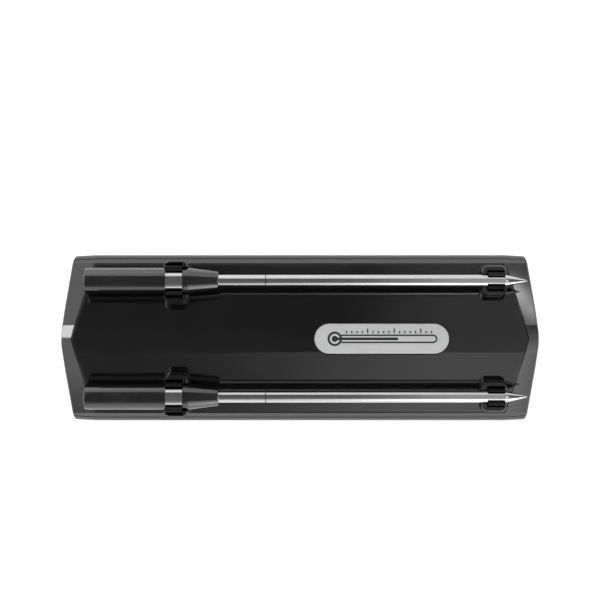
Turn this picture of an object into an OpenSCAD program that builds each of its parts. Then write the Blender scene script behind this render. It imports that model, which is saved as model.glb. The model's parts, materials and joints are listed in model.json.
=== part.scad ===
// Wireless meat thermometer: two leave-in probes resting in a charging dock.
// Units are millimetres. X runs along the probes (handles at -X, tips at +X), Z is up, z = 0 is the table.

/* [Dock] */
// half of the widest width, at the rim edge
half_w = 32; // [26:0.5:40]
// height of the rim edge, where the dock is widest
rim_z = 12; // [9:0.5:16]
// half width where the roof begins
roof_w = 28.74; // [24:0.02:36]
// height where the roof begins
roof_z = 17; // [14:0.5:22]
// slope of the roof, degrees
roof_slope = 20; // [12:1:28]
// half length of the roof panel at its sides
panel_x = 79; // [70:0.5:90]
// half length of the roof panel at the ridge, before rounding
panel_ridge_x = 86.53; // [78:0.01:96]
// half length of the dock at its sides
end_x = 87.5; // [78:0.5:98]
// half length of the dock at the ridge, before rounding
end_ridge_x = 90.55; // [82:0.05:102]
// wall thickness of the two shells
wall = 2; // [1.5:0.1:3]

/* [Probes] */
// distance of each probe axis from the ridge
probe_y = 21.9; // [18:0.1:26]
// height of each probe axis
probe_z = 25.1; // [24:0.1:28]
// radius of the handle
handle_r = 4.875; // [4:0.025:6]
// radius of the metal contact ring
ring_r = 4.6; // [4:0.05:5.5]
// radius of the stainless shaft
shaft_r = 2.25; // [1.5:0.05:3]
// where the handle starts
handle_x0 = -81.2; // [-90:0.1:-70]
// where the contact ring starts
ring_x0 = -50.5; // [-60:0.1:-40]
// where the contact ring ends
ring_x1 = -44.25; // [-50:0.05:-35]
// where the collar ends
collar_x1 = -30.7; // [-40:0.1:-20]
// where the thin seam line is
seam_x = -12.9; // [-20:0.1:0]
// where the tip starts
tip_x0 = 77.3; // [60:0.1:90]
// where the tip ends
tip_x1 = 85.9; // [70:0.1:95]

/* [Cradles] */
// where the handle cradles are
grip_x = -47.4; // [-60:0.1:-30]
// where the shaft cradles are
rest_x = 74.1; // [60:0.1:80]
// clearance between a probe and what holds it
play = 0.3; // [0.2:0.05:0.6]

/* [Badge] */
// where the middle of the badge is
badge_x = 30.8; // [-40:0.1:50]
// length of the badge
badge_len = 50.6; // [30:0.1:60]
// width of the badge
badge_w = 11.3; // [8:0.1:14]

/* [Hidden] */
$fn = 96;
foot = 0.8;
base_w = 28.5;
split_lo = 14.3;
split_hi = 14.8;
split_w_lo = 30.9;
split_w_hi = 30.3;
rim_in = 0.45;
bevel_drop = 0.9;
fillet_r = 16.3;
fillet_end_r = 15.2;
apex_z = roof_z + roof_w * tan(roof_slope);
drop_rate = bevel_drop / (end_x - panel_x);
fillet_z = apex_z - fillet_r / cos(roof_slope);
end_fall = (apex_z - roof_z + drop_rate * (panel_ridge_x - panel_x)) / roof_w;
grip_top = 27.2;
rest_top = 24.9;
pad_z = 15;
pocket_z = 16.2;
grip_half = 6.6;
rest_half = 3.95;
pocket_x = 3.4;
arm_x = 3.25;
boss_r = 2.4;
boss_flare = 0.3;
boss_rim_w = 0.6;
boss_rim_h = 0.8;
lean = 0.68;
grip_hinge = [5.35, -6];
rest_hinge = [2.97, -4.6];
corner_posts = [[-81, 18], [-81, -18], [81, 18], [81, -18], [10, 24], [10, -24]];
magnet_spots = [[-62, 20], [-62, -20], [62, 20], [62, -20]];
board_z = 6;
port_z = 8.9;
nose_x = 89;
button_r = 3;

// Everything on the outer side of a plane through p with outward normal n, the plane moved inward by t.
module beyond(p, n, t = 0) {
  u = n / norm(n);
  translate(p - t * u) rotate([0, acos(u[2]), atan2(u[1], u[0])])
    translate([-130, -130, 0]) cube([260, 260, 90]);
}

function flip(v, sx, sy) = [sx * v[0], sy * v[1], v[2]];
function unit(v) = v / norm(v);

// Outward normals in the quarter where x and y are positive.
roof_n = [0, sin(roof_slope), cos(roof_slope)];
facet_b_n = cross([1, 0, 0], [0, roof_w - split_w_hi, roof_z - split_hi]) * -1;
facet_a_n = cross([1, 0, 0], [0, split_w_lo - half_w, split_lo - rim_z]) * -1;
lower_n = cross([0, base_w - half_w, foot - rim_z], [1, 0, 0]) * -1;
end_n = [roof_w, end_ridge_x - end_x, 0];
bevel_n = [drop_rate, end_fall, 1];
facet_b_end_n = cross([end_x - panel_x, 0.11, -bevel_drop - 0.05],
  [0, split_w_hi - roof_w, split_hi - roof_z]);
facet_a_end_n = cross([0, split_w_lo - half_w, split_lo - rim_z], [end_x - panel_x, -rim_in, 0]);
lower_end_n = cross([end_x - panel_x, -rim_in, 0], [0, base_w - half_w, foot - rim_z]);
end_top = [end_x, roof_w, roof_z - bevel_drop];
end_rim = [end_x, half_w - rim_in, rim_z];

// The dock's outer shape, or the same shape with every face moved inward by t.
module form(t = 0) {
  difference() {
    translate([-100, -40, foot + t]) cube([200, 80, 40]);
    for (sy = [-1, 1]) {
      beyond([0, sy * roof_w, roof_z], flip(roof_n, 1, sy), t);
      beyond([0, sy * roof_w, roof_z], flip(facet_b_n, 1, sy), t);
      beyond([0, sy * half_w, rim_z], flip(facet_a_n, 1, sy), t);
      beyond([0, sy * half_w, rim_z], flip(lower_n, 1, sy), t);
      for (sx = [-1, 1]) {
        beyond(flip([end_x, roof_w, 0], sx, sy), flip(end_n, sx, sy), t);
        beyond(flip([panel_x, roof_w, roof_z], sx, sy), flip(bevel_n, sx, sy), t);
        beyond(flip([panel_x, roof_w, roof_z], sx, sy), flip(facet_b_end_n, sx, sy), t);
        beyond(flip([panel_x, half_w, rim_z], sx, sy), flip(facet_a_end_n, sx, sy), t);
        beyond(flip([panel_x, half_w, rim_z], sx, sy), flip(lower_end_n, sx, sy), t);
        if (t == 0) end_edges(sx, sy);
      }
    }
    for (sx = [-1, 1], a = [-4, -2, 0, 2, 4]) beyond([sx * 29.92, 0, 0], [sx * cos(a), sin(a), 0], t - 60.08);
    if (t > 0) translate([-100, -40, 23.6]) cube([200, 80, 20]);
    else ridge_rounding();
  }
}

// Small bevels: along the top of each end face, and down each corner.
module end_edges(sx, sy) {
  top = unit(bevel_n) + unit(end_n);
  beyond(flip(end_top, sx, sy), flip(top, sx, sy), 0.33);
  for (a = [35, 63]) {
    beyond(flip(end_rim, sx, sy), [sx * cos(a), sy * sin(a), 0.526 * sin(a)], 0.36);
    beyond(flip(end_rim, sx, sy), [sx * cos(a), sy * sin(a), -0.3125 * sin(a)], 0.36);
  }
}

// What the rounding of the ridge takes away: along the roof, and along the bevel at each end.
module ridge_rounding() {
  edge = fillet_r * sin(roof_slope);
  difference() {
    translate([-100, -edge, 23]) cube([200, 2 * edge, 10]);
    translate([-101, 0, fillet_z]) rotate([0, 90, 0]) cylinder(r = fillet_r / cos(1.5), h = 202, $fn = 240);
  }
  fall = atan(drop_rate);
  side = atan(end_fall * cos(fall));
  edge_end = fillet_end_r * sin(side);
  for (sx = [-1, 1])
    translate([sx * panel_ridge_x, 0, apex_z]) rotate([0, sx * fall, 0]) difference() {
      translate([-20, -edge_end, -4]) cube([40, 2 * edge_end, 10]);
      translate([-21, 0, -fillet_end_r / cos(side)]) rotate([0, 90, 0])
        cylinder(r = fillet_end_r / cos(1.5), h = 42, $fn = 240);
    }
}

// The plan of the roof panel, moved inward by d.
module panel_plan(d) {
  k = d / cos(atan((panel_ridge_x - panel_x) / roof_w));
  polygon([[panel_x - k, roof_w - d], [panel_ridge_x - k, 0], [panel_x - k, d - roof_w],
    [k - panel_x, d - roof_w], [k - panel_ridge_x, 0], [k - panel_x, roof_w - d]]);
}

module slot_2d(length, width) {
  square([length - width, width], center = true);
  for (s = [-1, 1]) translate([s * (length - width) / 2, 0]) circle(d = width);
}

// Puts its children at each probe axis: x along the probe, y outward from the ridge.
module each_probe() {
  for (sy = [-1, 1]) translate([0, sy * probe_y, 0]) scale([1, sy, 1]) children();
}

// A cradle boss: a slightly drafted block with rounded corners and a bevelled rim. x and y place its
// middle, y outward from the probe axis. half is half its length along the probe and half its width
// across it, below the rim.
module boss(x, y, half, top) {
  levels = [[13, boss_flare], [top - boss_rim_h, 0], [top, -boss_rim_w]];
  translate([x, y, 0]) {
    for (sx = [-1, 1], sy = [-1, 1])
      translate([sx * (half[0] - boss_r), sy * (half[1] - boss_r), 0])
        rotate_extrude() polygon(concat([[0, top], [0, 13]], [for (q = levels) [boss_r + q[1], q[0]]]));
    for (turn = [0, 1]) rotate([90, 0, turn * 90])
      linear_extrude(2 * (half[1 - turn] - boss_r), center = true)
        polygon(concat([for (q = levels) [half[turn] + q[1], q[0]]],
          [for (i = [2:-1:0]) [-half[turn] - levels[i][1], levels[i][0]]]));
  }
}

module bosses() {
  each_probe() {
    boss(grip_x + lean, -0.45, [4.6, 8.2], grip_top);
    boss(rest_x - lean, 0, [4.8, 5.9], rest_top);
  }
}

// The channel that a probe lies in, open above.
module channel(x, r) {
  translate([x - 8, 0, probe_z]) rotate([0, 90, 0]) cylinder(r = r, h = 16);
  translate([x - 8, -r, probe_z]) cube([16, 2 * r, 12]);
}

module base_shell() {
  color("#141517") difference() {
    union() {
      difference() {
        intersection() {
          form();
          translate([-100, -50, 0]) cube([200, 100, split_lo]);
        }
        form(wall);
      }
      for (p = corner_posts) translate([p[0], p[1], foot + 1]) cylinder(r = 3.8, h = 5 - foot - 1);
      for (p = magnet_spots) translate([p[0], p[1], foot + 1]) difference() {
        cylinder(r = 6, h = 3);
        translate([0, 0, 1]) cylinder(r = 5.05, h = 4);
      }
      for (x = [14, 76], y = [-9, 9]) translate([x, y, foot + 1]) cylinder(r = 2.5, h = board_z - foot - 1);
      for (sx = [-1, 1]) intersection() {
        translate([sx > 0 ? 86.95 : -92, -10, 2]) cube([5.05, 20, 11.5]);
        form(0.5);
      }
    }
    for (p = corner_posts) translate([p[0], p[1], 0]) {
      cylinder(r = 2.7, h = 3);
      cylinder(r = 1.4, h = 6);
    }
    for (sx = [-1, 1]) translate([sx > 0 ? nose_x : -nose_x - 4, -8, 4.6]) cube([4, 16, 7.6]);
    translate([84, 0, port_z]) rotate([90, 0, 90]) linear_extrude(10) slot_2d(9.3, 3.6);
    translate([-95, 0, port_z - 0.5]) rotate([0, 90, 0]) cylinder(r = button_r + 0.08, h = 12);
    translate([-95, 6, port_z - 0.5]) rotate([0, 90, 0]) cylinder(r = 1.27, h = 12);
    for (i = [0:4]) translate([46 + 4 * i, -33, 7]) rotate([-90, 0, 0]) cylinder(r = 0.7, h = 8);
  }
}

module top_shell() {
  color("#141517") difference() {
    union() {
      difference() {
        union() {
          form();
          bosses();
        }
        form(wall);
        translate([-100, -50, -1]) cube([200, 100, split_hi + 1]);
      }
      intersection() {
        form(1);
        each_probe() {
          translate([grip_x - 4.3, -7.8, pad_z]) cube([8.6, 15.6, 9]);
          translate([rest_x - 4.3, -5.2, pad_z]) cube([8.6, 10.4, 9]);
        }
      }
      intersection() {
        form(1);
        for (p = corner_posts) translate([p[0], p[1], 5]) cylinder(r = 2.8, h = 20);
      }
    }
    each_probe() {
      channel(grip_x, handle_r + play);
      channel(rest_x, shaft_r + play);
      translate([grip_x - pocket_x, -grip_half, pocket_z]) cube([2 * pocket_x, 2 * grip_half, 14]);
      translate([rest_x - pocket_x, -rest_half, pocket_z]) cube([2 * pocket_x, 2 * rest_half, 14]);
      for (x = [grip_x, rest_x]) translate([x, 0, pad_z - 1]) cylinder(r = 0.55, h = 4);
    }
    for (p = corner_posts) translate([p[0], p[1], 4]) cylinder(r = 1.25, h = 8);
    intersection() {
      difference() {
        form();
        form(0.3);
      }
      difference() {
        translate([0, 0, 15]) linear_extrude(14) panel_plan(0.2);
        translate([0, 0, 14]) linear_extrude(16) panel_plan(0.5);
        bosses();
      }
    }
    intersection() {
      translate([badge_x, 0, 22]) linear_extrude(6) slot_2d(badge_len + 0.7, badge_w + 0.7);
      difference() {
        translate([0, -20, 20]) cube([70, 40, 10]);
        translate([-1, 0, fillet_z]) rotate([0, 90, 0]) cylinder(r = fillet_r - 0.8, h = 72, $fn = 240);
      }
    }
  }
}

module seal() {
  color("#0c0c0c") intersection() {
    difference() {
      form(0.75);
      form(wall);
    }
    translate([-100, -50, split_lo]) cube([200, 100, split_hi - split_lo]);
  }
}

module badge() {
  color("#b9babb") intersection() {
    translate([badge_x, 0, 22]) linear_extrude(6) slot_2d(badge_len, badge_w);
    difference() {
      translate([0, 0, fillet_z]) rotate([0, 90, 0]) cylinder(r = fillet_r + 0.1, h = 70, $fn = 240);
      translate([-1, 0, fillet_z]) rotate([0, 90, 0]) cylinder(r = fillet_r - 0.8, h = 72, $fn = 240);
    }
  }
}

module foot_pad() {
  color("#1c1c1c") linear_extrude(foot) {
    square([150, 34], center = true);
    square([142, 42], center = true);
    for (sx = [-1, 1], sy = [-1, 1]) translate([71 * sx, 17 * sy]) circle(r = 4);
  }
}

module case_screws() {
  color("#9a9a9a") for (p = corner_posts) translate([p[0], p[1], 1.7]) difference() {
    union() {
      cylinder(r = 2.5, h = 1.3);
      cylinder(r = 1.2, h = 9);
    }
    translate([-1.6, -0.3, -1]) cube([3.2, 0.6, 1.7]);
    translate([-0.3, -1.6, -1]) cube([0.6, 3.2, 1.7]);
  }
}

module magnets() {
  color("#8d8f92") for (p = magnet_spots) translate([p[0], p[1], 2.8]) cylinder(r = 5, h = 1.9);
}

module battery() {
  color("#7f8fa3") {
    translate([-72, -13.5, 2.8]) cube([60, 27, 7]);
    translate([-12, -10, 4]) cube([3, 20, 4.5]);
  }
}

module main_board() {
  color("#1d5a34") difference() {
    translate([8, -13, board_z]) cube([78.5, 26, 1.2]);
    for (x = [14, 76], y = [-9, 9]) translate([x, y, board_z - 1]) cylinder(r = 1.1, h = 3);
  }
}

module radio_module() {
  color("#b4b4b4") translate([20, -7, board_z + 1.2]) cube([20, 14, 2.4]);
}

module buzzer() {
  color("#202020") translate([54, 0, board_z + 1.2]) difference() {
    cylinder(r = 6, h = 3);
    translate([0, 0, 2]) cylinder(r = 1.2, h = 2);
  }
}

module usb_socket() {
  color("#c2c4c6") difference() {
    union() {
      translate([81.7, 0, port_z]) rotate([90, 0, 90]) linear_extrude(7.1) slot_2d(8.94, 3.26);
      translate([82.2, -4, board_z + 1.2]) cube([4, 8, 0.6]);
    }
    translate([82.7, 0, port_z]) rotate([90, 0, 90]) linear_extrude(8) slot_2d(8.34, 2.66);
  }
}

module usb_tongue() {
  color("#1a1a1a") translate([82.7, -3.35, port_z - 0.35]) cube([5.2, 6.7, 0.7]);
}

module switch_board() {
  color("#1d5a34") {
    translate([-83.2, -9, 2.8]) cube([1.2, 18, 10]);
    translate([-84.6, -3, port_z - 3.5]) cube([1.6, 6, 6]);
    translate([-84.4, 4.8, port_z - 1.7]) cube([1.4, 2.4, 2.4]);
  }
}

module light_lens() {
  color("#e8eef2") translate([0, 6, port_z - 0.5]) rotate([0, 90, 0]) {
    translate([0, 0, -nose_x - 0.1]) cylinder(r = 1.25, h = 3.2);
    translate([0, 0, -86.9]) cylinder(r = 1.8, h = 1.6);
  }
}

module power_button() {
  color("#2a2b2d") translate([0, 0, port_z - 0.5]) rotate([0, 90, 0]) {
    translate([0, 0, -89.55]) cylinder(r = button_r, h = 3);
    translate([0, 0, -89.8]) cylinder(r1 = button_r - 0.25, r2 = button_r, h = 0.25);
    translate([0, 0, -86.85]) cylinder(r = 3.9, h = 0.9);
    translate([0, 0, -86]) cylinder(r = 1.5, h = 0.8);
  }
}

// The fixed seat between a cradle's two clip arms, with a socket for each arm's foot.
module seat(x, hinge, half, rise, r, foot_r) {
  top = probe_z + hinge[1] - 0.15;
  translate([x, 0, 0]) difference() {
    union() {
      translate([0.04 - pocket_x, 0.04 - half, pocket_z])
        cube([2 * pocket_x - 0.08, 2 * half - 0.08, top - pocket_z]);
      translate([0.04 - pocket_x, foot_r + 0.2 - hinge[0], pocket_z])
        cube([2 * pocket_x - 0.08, 2 * (hinge[0] - foot_r - 0.2), rise - pocket_z]);
    }
    translate([-10, 0, probe_z]) rotate([0, 90, 0]) cylinder(r = r + play, h = 20);
    for (s = [-1, 1]) translate([-10, s * hinge[0], probe_z + hinge[1]]) rotate([0, 90, 0])
      cylinder(r = foot_r + 0.05, h = 20);
    translate([0, 0, 10]) cylinder(r = 0.55, h = 20);
  }
}

module handle_seats() {
  color("#1b1b1c") each_probe() seat(grip_x, grip_hinge, grip_half, 21.6, ring_r, 0.75);
}

module shaft_seats() {
  color("#1b1b1c") each_probe() seat(rest_x, rest_hinge, rest_half, 23.4, shaft_r, 0.6);
}

// One contact pin under each end of each probe.
module pin(x, top) {
  translate([x, 0, 13.2]) cylinder(r = 0.5, h = top - 13.4);
  translate([x, 0, top - 0.2]) cylinder(r1 = 0.5, r2 = 0.3, h = 0.2);
}

module charge_contacts() {
  color("#c9a44c") each_probe() {
    pin(grip_x, probe_z - ring_r - 0.15);
    pin(rest_x, probe_z - shaft_r - 0.15);
  }
}

module contact_boards() {
  color("#1d5a34") each_probe() for (x = [grip_x, rest_x]) difference() {
    translate([x - 4, -4.6, pad_z - 1]) cube([8, 9, 1]);
    translate([x, 0, 10]) cylinder(r = 0.52, h = 10);
  }
}

// A clip arm's outline, seen along the probe: x outward from the probe axis, y up from it.
// tip is how far the tip of its hook stays from the probe's middle plane.
module grip_arm_2d(tip) {
  r = ring_r + play + 0.03;
  difference() {
    polygon([[r, -6], [r, 0], [tip, 3], [tip, 3.6], [4.65, 4.2], [5.15, 4.2], [5.45, 3.8], [5.8, 0],
      [5.95, -5], [5.95, -6]]);
    circle(r = r);
  }
}

module rest_arm_2d(tip) {
  r = shaft_r + play;
  difference() {
    polygon([[r, -4.6], [r, 0], [tip, 1.6], [tip, 2.1], [2.35, 2.6], [2.75, 2.6], [3, 2.3], [3.3, 0],
      [3.4, -4], [3.4, -4.6]]);
    circle(r = r);
  }
}

// An arm at the probe on side sy, on the outward (s = 1) or the ridge (s = -1) side of it.
module arm(x, sy, s) {
  color("#1b1b1c") translate([x - arm_x, sy * probe_y, probe_z]) scale([1, sy * s, 1])
    rotate([90, 0, 90]) if (x < 0) {
      linear_extrude(2 * arm_x) grip_arm_2d(s > 0 ? 3.6 : 3.95);
      translate(grip_hinge) cylinder(r = 0.75, h = 2 * arm_x);
    } else {
      linear_extrude(2 * arm_x) rest_arm_2d(s > 0 ? 1.8 : 2.05);
      translate(rest_hinge) cylinder(r = 0.6, h = 2 * arm_x);
    }
}

module arm_a_handle_out() arm(grip_x, 1, 1);
module arm_a_handle_in() arm(grip_x, 1, -1);
module arm_a_shaft_out() arm(rest_x, 1, 1);
module arm_a_shaft_in() arm(rest_x, 1, -1);
module arm_b_handle_out() arm(grip_x, -1, 1);
module arm_b_handle_in() arm(grip_x, -1, -1);
module arm_b_shaft_out() arm(rest_x, -1, 1);
module arm_b_shaft_in() arm(rest_x, -1, -1);

// Turns an outline of (radius, distance along X) about the axis of the probe on side sy.
module turned(sy, outline) {
  translate([0, sy * probe_y, probe_z]) rotate([0, 90, 0]) rotate_extrude() polygon(outline);
}

module probe_handle(sy) {
  color("#17181a") turned(sy, [[0, handle_x0], [handle_r - 0.6, handle_x0],
    [handle_r - 0.18, handle_x0 + 0.18], [handle_r, handle_x0 + 0.6], [handle_r, ring_x0],
    [3.6, ring_x0], [3.6, handle_x0 + 1.8], [0, handle_x0 + 1.8]]);
}

module probe_ring(sy) {
  color("#c8cacc") turned(sy, [[3.2, ring_x0 - 3], [3.56, ring_x0 - 3], [3.56, ring_x0], [ring_r, ring_x0],
    [ring_r, ring_x1], [3.56, ring_x1], [3.56, ring_x1 + 2.4], [3.2, ring_x1 + 2.4]]);
}

module probe_collar(sy) {
  color("#17181a") turned(sy, [[3.6, ring_x1], [handle_r - 0.15, ring_x1], [handle_r, ring_x1 + 0.15],
    [handle_r, ring_x1 + 2.15], [3.45, collar_x1 - 0.25], [3.2, collar_x1],
    [shaft_r + 0.03, collar_x1], [shaft_r + 0.03, ring_x1 + 3.2], [3.6, ring_x1 + 3.2]]);
}

module probe_shaft(sy) {
  color("#c8cacc") turned(sy, [[1.75, ring_x1 + 2.8], [3.1, ring_x1 + 2.8], [3.1, ring_x1 + 3.2],
    [shaft_r, ring_x1 + 3.2], [shaft_r, seam_x - 0.14], [shaft_r - 0.22, seam_x - 0.14],
    [shaft_r - 0.22, seam_x + 0.14], [shaft_r, seam_x + 0.14], [shaft_r, tip_x0], [1.75, tip_x0]]);
}

module probe_tip(sy) {
  span = tip_x1 - tip_x0;
  bend = [for (i = [0:8]) let (q = i / 8) [shaft_r * (1 - 0.93 * pow(q, 1.18)), tip_x0 + 0.985 * span * q]];
  spigot = [[0, tip_x0 - 5], [1.7, tip_x0 - 5], [1.7, tip_x0]];
  color("#c8cacc") turned(sy, concat(spigot, bend, [[0, tip_x1]]));
}

module probe_board(sy) {
  color("#1d5a34") translate([0, sy * probe_y, probe_z]) {
    translate([-79.2, -2.4, 1.1]) cube([33.2, 4.8, 0.6]);
    translate([-46, -0.6, 1.1]) cube([118, 1.2, 0.3]);
  }
}

module probe_sensors(sy) {
  color("#303030") translate([0, sy * probe_y, probe_z])
    for (x = [16, 32, 48, 60, 71]) translate([x - 0.5, -0.4, 0.5]) cube([1, 0.8, 0.6]);
}

module probe_cell(sy) {
  color("#9aa0a6") translate([-72, sy * probe_y, probe_z - 1.2]) rotate([0, 90, 0]) cylinder(r = 2.2, h = 17);
}

module probe_a_handle() probe_handle(1);
module probe_a_ring() probe_ring(1);
module probe_a_collar() probe_collar(1);
module probe_a_shaft() probe_shaft(1);
module probe_a_tip() probe_tip(1);
module probe_a_board() probe_board(1);
module probe_a_sensors() probe_sensors(1);
module probe_a_cell() probe_cell(1);
module probe_b_handle() probe_handle(-1);
module probe_b_ring() probe_ring(-1);
module probe_b_collar() probe_collar(-1);
module probe_b_shaft() probe_shaft(-1);
module probe_b_tip() probe_tip(-1);
module probe_b_board() probe_board(-1);
module probe_b_sensors() probe_sensors(-1);
module probe_b_cell() probe_cell(-1);

base_shell();
top_shell();
seal();
badge();
foot_pad();
case_screws();
magnets();
battery();
main_board();
radio_module();
buzzer();
usb_socket();
usb_tongue();
switch_board();
light_lens();
power_button();
handle_seats();
shaft_seats();
charge_contacts();
contact_boards();
arm_a_handle_out();
arm_a_handle_in();
arm_a_shaft_out();
arm_a_shaft_in();
arm_b_handle_out();
arm_b_handle_in();
arm_b_shaft_out();
arm_b_shaft_in();
probe_a_handle();
probe_a_ring();
probe_a_collar();
probe_a_shaft();
probe_a_tip();
probe_a_board();
probe_a_sensors();
probe_a_cell();
probe_b_handle();
probe_b_ring();
probe_b_collar();
probe_b_shaft();
probe_b_tip();
probe_b_board();
probe_b_sensors();
probe_b_cell();
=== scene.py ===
"""Wireless meat thermometer: two leave-in probes in clip cradles on a long faceted charging dock.
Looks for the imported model: camera, studio, floor and one procedural finish for each material slot."""
import json

import bpy
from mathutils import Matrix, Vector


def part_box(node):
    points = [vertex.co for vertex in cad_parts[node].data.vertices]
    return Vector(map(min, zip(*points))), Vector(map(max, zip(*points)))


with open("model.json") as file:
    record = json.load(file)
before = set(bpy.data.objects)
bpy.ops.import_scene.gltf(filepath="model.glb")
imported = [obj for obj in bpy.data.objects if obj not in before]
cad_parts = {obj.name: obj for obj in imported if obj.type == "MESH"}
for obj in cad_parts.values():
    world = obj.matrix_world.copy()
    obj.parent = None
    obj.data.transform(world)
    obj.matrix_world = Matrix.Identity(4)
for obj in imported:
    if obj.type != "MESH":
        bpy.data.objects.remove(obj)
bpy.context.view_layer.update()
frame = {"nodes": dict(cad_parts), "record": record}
scene = bpy.context.scene
MM = 0.001              # a millimetre in scene units
SEAM_X = -12.9          # where the shaft's seam groove and its painted shade line are, mm
EYE_Y, EYE_Z = 14.63, 516.0     # where the camera stands, mm
CEILING_Z = 0.5         # height of the light tent's ceiling, m
CEILING_HALF = 4.0      # half its width, m
FLOOR_HALF = 8.0        # half the floor's width, m
HORIZON = 1.05          # brightness of the white round the horizon, before side_light
KEY = 9.0               # extra brightness of the box out past the -X end
STREAK = 11.0           # extra brightness of the slanted strip out past the +X end
SLANT = 2.4             # how far that strip shifts towards -Y for each metre along X
FLOOR_GLOW = 0.84       # the floor's own light, which keeps it a plain pale ground
BEVEL_SAMPLES = 6       # rays that look for an edge to soften


# ---------------------------------------------------------------- node helpers
class Val:
    """A socket or a number, with the operators that make Math nodes."""

    def __init__(self, tree, sock):
        self.tree, self.sock = tree, sock

    def op(self, kind, *others):
        n = self.tree.nodes.new("ShaderNodeMath")
        n.operation = kind
        for i, v in enumerate((self,) + others):
            put(self.tree, n.inputs[i], v)
        return Val(self.tree, n.outputs[0])

    def __add__(self, o):
        return self.op("ADD", o)

    def __radd__(self, o):
        return self.op("ADD", o)

    def __sub__(self, o):
        return self.op("SUBTRACT", o)

    def __rsub__(self, o):
        return self.op("MULTIPLY", -1.0).op("ADD", o)

    def __mul__(self, o):
        return self.op("MULTIPLY", o)

    def __truediv__(self, o):
        return self.op("DIVIDE", o)

    def __neg__(self):
        return self.op("MULTIPLY", -1.0)

    def abs(self):
        return self.op("ABSOLUTE")

    def max(self, o):
        return self.op("MAXIMUM", o)

    def sq(self):
        return self.op("POWER", 2.0)

    def root(self):
        return self.op("SQRT")

    def ramp(self, a, b, c=0.0, d=1.0, smooth=True):
        """c where the value is a, d where it is b, and between them in between."""
        n = self.tree.nodes.new("ShaderNodeMapRange")
        n.interpolation_type = "SMOOTHSTEP" if smooth else "LINEAR"
        put(self.tree, n.inputs[0], self)
        for i, v in enumerate((a, b, c, d), 1):
            n.inputs[i].default_value = v
        return Val(self.tree, n.outputs[0])


def put(tree, sock, v):
    if isinstance(v, Val):
        tree.links.new(v.sock, sock)
    elif isinstance(v, bpy.types.NodeSocket):
        tree.links.new(v, sock)
    else:
        sock.default_value = v


def hypot(a, b):
    return (a.sq() + b.sq()).root()


def rgb(r, g=None, b=None):
    return (r, r if g is None else g, r if b is None else b, 1.0)


class Finish:
    """One Principled material, with short names for the nodes it is made of."""

    def __init__(self, name, **sockets):
        self.mat = bpy.data.materials.new(name)
        self.mat.use_nodes = True
        t = self.tree = self.mat.node_tree
        t.nodes.clear()
        out = t.nodes.new("ShaderNodeOutputMaterial")
        self.bsdf = t.nodes.new("ShaderNodeBsdfPrincipled")
        t.links.new(self.bsdf.outputs[0], out.inputs[0])
        for k, v in sockets.items():
            self.bsdf.inputs[k.replace("_", " ")].default_value = v
        co = t.nodes.new("ShaderNodeTexCoord")
        self.at = co.outputs["Object"]
        sep = t.nodes.new("ShaderNodeSeparateXYZ")
        t.links.new(self.at, sep.inputs[0])
        self.x, self.y, self.z = (Val(t, s) for s in sep.outputs)
        self.normal = None

    def vec(self, x, y, z):
        n = self.tree.nodes.new("ShaderNodeCombineXYZ")
        for i, v in enumerate((x, y, z)):
            put(self.tree, n.inputs[i], v)
        return n.outputs[0]

    def stretch(self, sx, sy, sz):
        return self.vec(self.x * sx, self.y * sy, self.z * sz)

    def noise(self, scale, detail=3.0, rough=0.55, at=None, dist=0.0):
        n = self.tree.nodes.new("ShaderNodeTexNoise")
        n.inputs["Scale"].default_value = scale
        n.inputs["Detail"].default_value = detail
        n.inputs["Roughness"].default_value = rough
        n.inputs["Distortion"].default_value = dist
        self.tree.links.new(at or self.at, n.inputs["Vector"])
        return Val(self.tree, n.outputs[0])

    def cells(self, scale):
        n = self.tree.nodes.new("ShaderNodeTexVoronoi")
        n.inputs["Scale"].default_value = scale
        self.tree.links.new(self.at, n.inputs["Vector"])
        return Val(self.tree, n.outputs["Distance"])

    def mix(self, amount, a, b):
        n = self.tree.nodes.new("ShaderNodeMix")
        n.data_type = "RGBA"
        put(self.tree, n.inputs[0], amount)
        put(self.tree, n.inputs[6], a)
        put(self.tree, n.inputs[7], b)
        return n.outputs[2]

    def set(self, socket, v):
        put(self.tree, self.bsdf.inputs[socket], v)
        return self

    def bump(self, height, depth):
        """height is 0..1 and depth is in metres; a later bump adds to an earlier one."""
        n = self.tree.nodes.new("ShaderNodeBump")
        n.inputs["Strength"].default_value = 1.0
        n.inputs["Distance"].default_value = depth
        put(self.tree, n.inputs["Height"], height)
        if self.normal is not None:
            self.tree.links.new(self.normal, n.inputs["Normal"])
        self.normal = n.outputs[0]
        self.tree.links.new(self.normal, self.bsdf.inputs["Normal"])
        return self

    def soften(self, radius):
        """Edges catch the light as if rounded to this radius."""
        n = self.tree.nodes.new("ShaderNodeBevel")
        n.samples = BEVEL_SAMPLES
        n.inputs["Radius"].default_value = radius
        self.normal = n.outputs[0]
        self.tree.links.new(self.normal, self.bsdf.inputs["Normal"])
        return self


# ---------------------------------------------------------------- camera
cam = bpy.data.cameras.new("camera")
cam.lens, cam.sensor_width = 78.0, 36.0
cam.clip_start, cam.clip_end = 0.01, 50.0
eye = bpy.data.objects.new("camera", cam)
eye.location = (0.0, EYE_Y * MM, EYE_Z * MM)
scene.collection.objects.link(eye)
scene.camera = eye
scene.view_settings.view_transform = "Standard"
scene.view_settings.look = "None"


# ---------------------------------------------------------------- studio
def window(q, a, b, e):
    """1 where q is between a and b, 0 outside, with edges 2e wide."""
    return q.ramp(a - e, a + e) * q.ramp(b + e, b - e)


def sheet(name, half, z):
    corners = [(sx * half, sy * half, z) for sx, sy in ((-1, -1), (1, -1), (1, 1), (-1, 1))]
    mesh = bpy.data.meshes.new(name)
    mesh.from_pydata(corners, [], [(0, 1, 2, 3)])
    ob = bpy.data.objects.new(name, mesh)
    scene.collection.objects.link(ob)
    return ob


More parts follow.
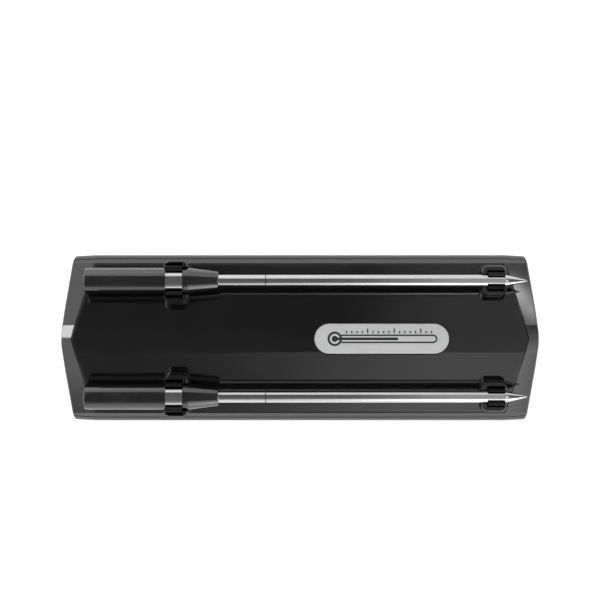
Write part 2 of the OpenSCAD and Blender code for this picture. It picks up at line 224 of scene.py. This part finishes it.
def place(tree, output):
    """The x and y of a texture coordinate."""
    co = tree.nodes.new("ShaderNodeTexCoord")
    sep = tree.nodes.new("ShaderNodeSeparateXYZ")
    tree.links.new(co.outputs[output], sep.inputs[0])
    return Val(tree, sep.outputs[0]), Val(tree, sep.outputs[1])


def side_light(x, y):
    """How bright the far light is: 1 on the +Y side, and up to 3.2 on the -Y side towards +X."""
    near_side = (-y).max(0.001)
    return (x / near_side).ramp(0.06, 0.14, 1.0, 3.2) * y.ramp(0.0, -0.05) + y.ramp(-0.05, 0.0)


def ceiling_level(x, y):
    """How bright the ceiling is at x, y, in metres. The pairs are where a light's edge starts and ends."""
    # dim over the object, dim again in a band past the +X end, and white beyond that
    over = x.ramp(0.03, 0.135, 0.12, 0.43) + (-y).ramp(-0.4, 0.3) * 0.035
    over = (over * (1.0 - window(x, 0.35, 0.64, 0.02) * 0.70)).max(x.ramp(0.65, 0.76))
    # pale on the -Y side, growing towards +X and outward
    near = (-y).ramp(0.355, 0.39) * x.ramp(-0.125, 0.145, 0.21, 0.92) * (-y).ramp(0.46, 0.52, 1.0, 1.55)
    near = near.max((-y).ramp(0.60, 0.90) * side_light(x, y))
    # pale on the +Y side, a little brighter out past the -X end and dimmer out past the +X end
    far = y.ramp(0.455, 0.485) * (1.08 + x.ramp(-0.24, -0.30) * 0.25 - x.ramp(0.22, 0.30) * 0.3)
    # pale past the -X end and plain far out, and a strip past the +X end that grows towards -Y
    left = x.ramp(-0.20, -0.25) * y.ramp(-0.575, -0.525, 0.8, 1.55)
    right = window(x, 0.265, 0.35, 0.012) * y.ramp(0.30, -0.43, 0.5, 2.3, smooth=False)
    level = over.max(near).max(far).max(left * x.ramp(-0.9, -0.6)).max(right).max((-x).ramp(0.8, 1.2))
    # the key box out past the -X end, and the slanted strip out past the +X end
    level = level + window(y, 0.02, 0.37, 0.03) * window(x, -0.36, -0.25, 0.015) * KEY
    slant = y + (x - 0.332) * SLANT
    strip = window(slant, 0.450, 0.482, 0.012) * y.ramp(0.446, 0.454) * y.ramp(0.508, 0.488)
    return level + strip * window(x, 0.27, 0.38, 0.012) * STREAK


def build_studio():
    """A light tent: plain white round the horizon, and a diffusing ceiling half a metre up."""
    world = bpy.data.worlds.new("studio")
    scene.world = world
    world.use_nodes = True
    sky = world.node_tree
    back = sky.nodes["Background"]
    back.inputs["Color"].default_value = rgb(1.0)
    put(sky, back.inputs["Strength"], side_light(*place(sky, "Generated")) * HORIZON)
    ceiling = sheet("ceiling", CEILING_HALF, CEILING_Z)
    ceiling.visible_camera = False
    mat = bpy.data.materials.new("diffuser")
    mat.use_nodes = True
    tree = mat.node_tree
    tree.nodes.clear()
    out = tree.nodes.new("ShaderNodeOutputMaterial")
    em = tree.nodes.new("ShaderNodeEmission")
    tree.links.new(em.outputs[0], out.inputs[0])
    put(tree, em.inputs["Strength"], ceiling_level(*place(tree, "Object")))
    ceiling.data.materials.append(mat)


def build_floor():
    """Plain pale ground."""
    floor = sheet("floor", FLOOR_HALF, 0.0)
    f = Finish("floor_white", Roughness=0.9, Emission_Strength=FLOOR_GLOW, Specular_IOR_Level=0.0)
    f.set("Base Color", f.mix(f.noise(3.0).ramp(0.3, 0.7), rgb(0.32), rgb(0.35)))
    f.bsdf.inputs["Emission Color"].default_value = rgb(1.0)
    floor.data.materials.append(f.mat)


build_studio()
build_floor()


# ---------------------------------------------------------------- finishes
def gloss_black(name="gloss_black", edge=0.25):
    """Polished ABS: a little polish haze, sparse dust and a trace of the mould's waviness."""
    f = Finish(name, IOR=1.65).soften(edge * MM)
    patch = f.noise(55.0, 4.0)
    dark, pale = rgb(0.0042, 0.0043, 0.0044), rgb(0.0054, 0.0055, 0.0056)
    f.set("Base Color", f.mix(patch.ramp(0.35, 0.65), dark, pale))
    dust = f.cells(900.0).ramp(0.10, 0.02) * f.noise(180.0, 2.0).ramp(0.55, 0.75)
    f.set("Roughness", patch.ramp(0.3, 0.7, 0.045, 0.085) + dust * 0.12 + f.noise(2600.0, 2.0) * 0.02)
    f.bump(f.noise(38.0, 1.0, 0.4), 0.010 * MM)
    f.bump(f.noise(5200.0, 2.0), 0.0006 * MM)
    return f.mat


def moulded(name, dark, pale, rough, grain=0.004, scale=3600.0, soft=0.10, **kw):
    """Moulded plastic with a fine spark-eroded grain."""
    f = Finish(name, **kw).soften(soft * MM)
    fine, broad = f.noise(scale, 3.0, 0.6), f.noise(90.0, 3.0)
    f.set("Base Color", f.mix((fine * 0.6 + broad * 0.4).ramp(0.35, 0.65), rgb(dark), rgb(pale)))
    f.set("Roughness", broad.ramp(0.3, 0.7, rough - 0.04, rough + 0.04) + fine * 0.05)
    f.bump(fine, grain * MM)
    return f.mat


def rubber(name, dark, pale):
    """Matt rubber with fine pits."""
    f = Finish(name, IOR=1.45).soften(0.15 * MM)
    pits, cloud = f.cells(1500.0), f.noise(120.0, 4.0)
    f.set("Base Color", f.mix(cloud.ramp(0.35, 0.7), rgb(dark), rgb(pale)))
    f.set("Roughness", cloud.ramp(0.3, 0.7, 0.54, 0.72))
    f.bump(pits.ramp(0.0, 0.5), 0.02 * MM)
    f.bump(f.noise(4200.0, 3.0), 0.006 * MM)
    return f.mat


def steel(name, tone, rough):
    """Turned stainless steel: fine rings round X, and a painted dark line of shade over the shaft's seam
    groove.
    """
    f = Finish(name, Metallic=1.0).soften(0.03 * MM)
    rings = f.noise(1.0, 3.0, 0.6, at=f.stretch(4200.0, 60.0, 60.0))
    cloud = f.noise(140.0, 3.0)
    dark, pale = rgb(tone * 0.94, tone * 0.94, tone * 0.95), rgb(tone * 1.04, tone * 1.035, tone * 1.03)
    # painted shade: the steel's colour goes dark in a thin band over the seam groove, standing in for the
    # shade inside it
    seam_shade = (f.x / MM - SEAM_X).abs().ramp(0.19, 0.15)
    metal = f.mix((rings * 0.6 + cloud * 0.4).ramp(0.3, 0.7), dark, pale)
    f.set("Base Color", f.mix(seam_shade, metal, rgb(0.10)))
    f.set("Roughness", rings.ramp(0.25, 0.75, rough - 0.03, rough + 0.04) + cloud * 0.03)
    f.bump(rings, 0.0006 * MM)
    return f.mat


def brushed(name, tone, rough, along="x"):
    """Bare metal with brush lines along X or Z."""
    f = Finish(name, Metallic=1.0).soften(0.12 * MM)
    s = {"x": (60.0, 5200.0, 5200.0), "z": (5200.0, 5200.0, 60.0)}[along]
    lines, cloud = f.noise(1.0, 3.0, 0.6, at=f.stretch(*s)), f.noise(150.0, 3.0)
    dark, pale = rgb(tone * 0.94), rgb(tone * 1.04)
    f.set("Base Color", f.mix((lines * 0.7 + cloud * 0.3).ramp(0.3, 0.7), dark, pale))
    f.set("Roughness", lines.ramp(0.25, 0.75, rough - 0.05, rough + 0.06) + cloud * 0.03)
    f.bump(lines, 0.0015 * MM)
    return f.mat


def badge():
    """Satin silver plate with a generic thermometer printed on it: bulb, tube, thread and scale marks."""
    f = Finish("badge_metal", IOR=1.5).soften(0.15 * MM)
    lo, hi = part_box("badge")
    cx, cy = (lo.x + hi.x) / 2, (lo.y + hi.y) / 2
    half = (hi.x - lo.x) / 2 / MM
    x, y = (f.x - cx) / MM, (f.y - cy) / MM
    lines = f.noise(1.0, 3.0, 0.6, at=f.stretch(90.0, 6000.0, 6000.0))
    cloud = f.noise(160.0, 3.0)
    dark, pale = rgb(0.50, 0.502, 0.505), rgb(0.54, 0.541, 0.543)
    metal = f.mix((lines * 0.7 + cloud * 0.3).ramp(0.3, 0.7), dark, pale)
    # the print's sizes and places in mm, the places from the middle of the plate
    e = 0.06                                  # softness of a printed edge
    bulb_r, bulb_hole, core_r = 2.75, 1.9, 1.15
    tube_r, tube_line, thread_r = 1.35, 0.30, 0.50
    step, tick_foot, tick_top, tall_top = 2.0, 2.1, 3.0, 3.9
    bulb_x = 7.6 - half
    tube_x0, tube_x1 = bulb_x + 2.4, half - 6.0
    level = tube_x0 + 0.62 * (tube_x1 - tube_x0)
    from_bulb = hypot(x - bulb_x, y)
    bulb = from_bulb.ramp(bulb_r + e, bulb_r - e) * from_bulb.ramp(bulb_hole - e, bulb_hole + e)
    core = from_bulb.ramp(core_r + e, core_r - e)
    wall = (hypot((x - tube_x1).max(0.0), y) - tube_r).abs()
    tube = wall.ramp(tube_line + e, tube_line - e) * (x - tube_x0).ramp(-e, e)
    thread = y.abs().ramp(thread_r + e, thread_r - e) * (x - bulb_x).ramp(0.0, e) * (x - level).ramp(e, -e)
    # a mark at each whole step along the tube, every fifth one taller
    mark = (x - tube_x0) / step
    tick = (mark.op("FRACT") - 0.5).abs().ramp(0.35, 0.39)
    top = ((mark / 5.0).op("FRACT") - 0.5).abs().ramp(0.44, 0.45, tick_top, tall_top)
    tick = tick * y.ramp(tick_foot - e, tick_foot + e) * (y - top).ramp(e, -e)
    ends = (x - tube_x0).ramp(1.0, 1.1) * (x - tube_x1).ramp(0.6, 0.5)
    ink = bulb.max(core).max(tube).max(thread).max(tick * ends)
    f.set("Base Color", f.mix(ink, metal, rgb(0.006)))
    f.set("Roughness", lines.ramp(0.25, 0.75, 0.36, 0.46) + ink * 0.1)
    f.bump(lines, 0.001 * MM)
    return f.mat


def board():
    """Solder mask with copper tracks under it."""
    f = Finish("board_green", IOR=1.5)
    n = f.tree.nodes.new("ShaderNodeTexBrick")
    f.tree.links.new(f.at, n.inputs["Vector"])
    n.inputs["Scale"].default_value = 420.0
    n.inputs["Mortar Size"].default_value = 0.04
    track = Val(f.tree, n.outputs["Fac"])
    mask, over_track = rgb(0.012, 0.085, 0.030), rgb(0.03, 0.16, 0.055)
    f.set("Base Color", f.mix(track * f.noise(300.0).ramp(0.4, 0.5), mask, over_track))
    f.set("Roughness", f.noise(900.0).ramp(0.3, 0.7, 0.28, 0.4))
    f.bump(track, 0.02 * MM)
    return f.mat


def wrap():
    """Heat-shrink film on the cell."""
    f = Finish("battery_wrap", IOR=1.48)
    crease = f.noise(1.0, 4.0, 0.6, at=f.stretch(90.0, 420.0, 420.0), dist=0.4)
    f.set("Base Color", f.mix(crease.ramp(0.3, 0.7), rgb(0.17, 0.235, 0.32), rgb(0.22, 0.29, 0.38)))
    f.set("Roughness", crease.ramp(0.3, 0.7, 0.3, 0.45))
    f.bump(crease, 0.05 * MM)
    return f.mat


def nickel():
    """Plated magnets."""
    f = Finish("magnet_nickel", Metallic=1.0).soften(0.1 * MM)
    c = f.noise(220.0, 4.0)
    f.set("Base Color", f.mix(c.ramp(0.3, 0.7), rgb(0.56, 0.55, 0.53), rgb(0.66, 0.65, 0.62)))
    f.set("Roughness", c.ramp(0.3, 0.7, 0.12, 0.22))
    f.bump(f.noise(3000.0), 0.001 * MM)
    return f.mat


def gold():
    """Plated contact pins."""
    f = Finish("contact_gold", Metallic=1.0).soften(0.06 * MM)
    c = f.noise(1600.0, 3.0)
    f.set("Base Color", f.mix(c.ramp(0.3, 0.7), rgb(0.78, 0.52, 0.17), rgb(0.86, 0.60, 0.24)))
    f.set("Roughness", c.ramp(0.3, 0.7, 0.14, 0.24))
    f.bump(c, 0.001 * MM)
    return f.mat


def lens():
    """Clear light guide."""
    f = Finish("lens_clear", IOR=1.49, Transmission_Weight=0.85)
    c = f.noise(700.0, 3.0)
    f.set("Base Color", f.mix(c.ramp(0.3, 0.7), rgb(0.80, 0.86, 0.90), rgb(0.90, 0.94, 0.97)))
    f.set("Roughness", c.ramp(0.3, 0.7, 0.10, 0.2))
    f.bump(c, 0.002 * MM)
    return f.mat


FINISH = {
    "gloss_black": gloss_black(),
    "seal_rubber": rubber("seal_rubber", 0.006, 0.010),
    "badge_metal": badge(),
    "foot_rubber": rubber("foot_rubber", 0.014, 0.024),
    "screw_steel": brushed("screw_steel", 0.42, 0.28, along="z"),
    "magnet_nickel": nickel(),
    "battery_wrap": wrap(),
    "board_green": board(),
    "shield_metal": brushed("shield_metal", 0.58, 0.26),
    "buzzer_black": moulded("buzzer_black", 0.010, 0.018, 0.5),
    "tongue_black": moulded("tongue_black", 0.007, 0.012, 0.45),
    "lens_clear": lens(),
    "button_black": moulded("button_black", 0.012, 0.018, 0.38, grain=0.006),
    "clip_black": moulded("clip_black", 0.0015, 0.0030, 0.30, grain=0.002, soft=0.15, IOR=1.30),
    "contact_gold": gold(),
    "probe_black": moulded("probe_black", 0.0035, 0.0055, 0.10, grain=0.0006, scale=5200.0, soft=0.05,
                           IOR=1.9),
    "probe_steel": steel("probe_steel", 0.615, 0.10),
    "sensor_black": moulded("sensor_black", 0.006, 0.012, 0.4),
}
# The lower shell has the slot of the upper one, with crisper edges.
OWN = {"base_shell": gloss_black("gloss_black_base", 0.06)}
for part in frame["record"]["subparts"]:
    ob = frame["nodes"][part["node"]]
    ob.data.materials.clear()
    ob.data.materials.append(OWN.get(part["node"], FINISH[part["material_slot"]]))
